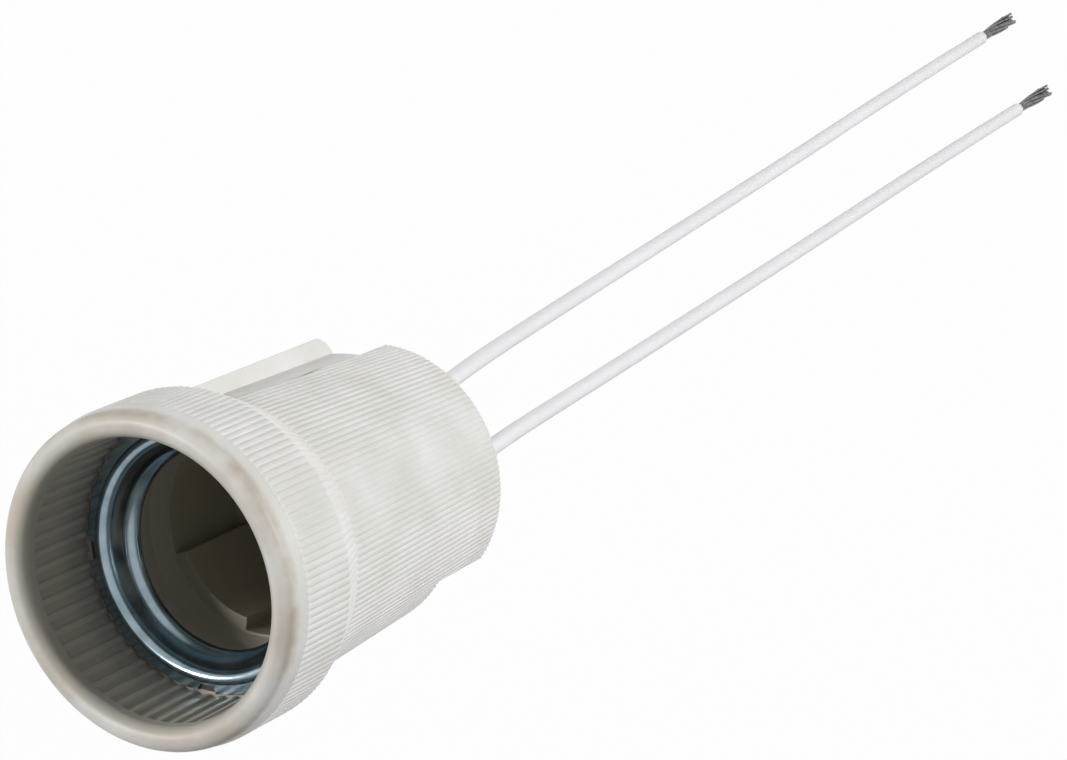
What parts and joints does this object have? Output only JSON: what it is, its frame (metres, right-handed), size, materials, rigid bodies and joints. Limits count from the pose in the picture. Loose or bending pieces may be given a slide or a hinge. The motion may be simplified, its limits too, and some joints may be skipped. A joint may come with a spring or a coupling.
{
  "type": "lamp holder",
  "caption": "Reeded porcelain screw lamp holder with a round lip, rolled-thread metal shell, tilting centre contact, locating fin and insulated leads with bare ends.",
  "frame": {"origin": "on the holder's axis in the plane of its rear end face, where it sits in a fitting", "axes": "+Z along the axis towards the mouth, +X towards the locating fin, -X towards the rear flat"},
  "size_m": [0.0479, 0.041, 0.2903],
  "materials": {
    "porcelain": "satin",
    "zinc_steel": "satin",
    "brass": "satin",
    "silicone": "matte",
    "tinned_strands": "satin"
  },
  "bodies": {
    "holder": {"porcelain_body": "porcelain", "screw_shell": "zinc_steel", "shell_rivet": "brass", "contact_rivet": "brass", "contact_terminal": "brass", "shell_terminal": "brass", "lead_contact": "silicone", "lead_shell": "silicone", "lead_contact_strands": "tinned_strands", "lead_shell_strands": "tinned_strands", "lead_contact_tip": "tinned_strands", "lead_shell_tip": "tinned_strands"},
    "contact": {"centre_contact": "brass"}
  },
  "joints": [
    {"name": "contact_tilt", "type": "hinge", "parent": "holder", "child": "contact", "pos_m": [0.0086, 0, 0.0163], "axis": [0, -1, 0], "range_deg": [0, 8], "stiffness_Nm_per_rad": 0.3}
  ]
}
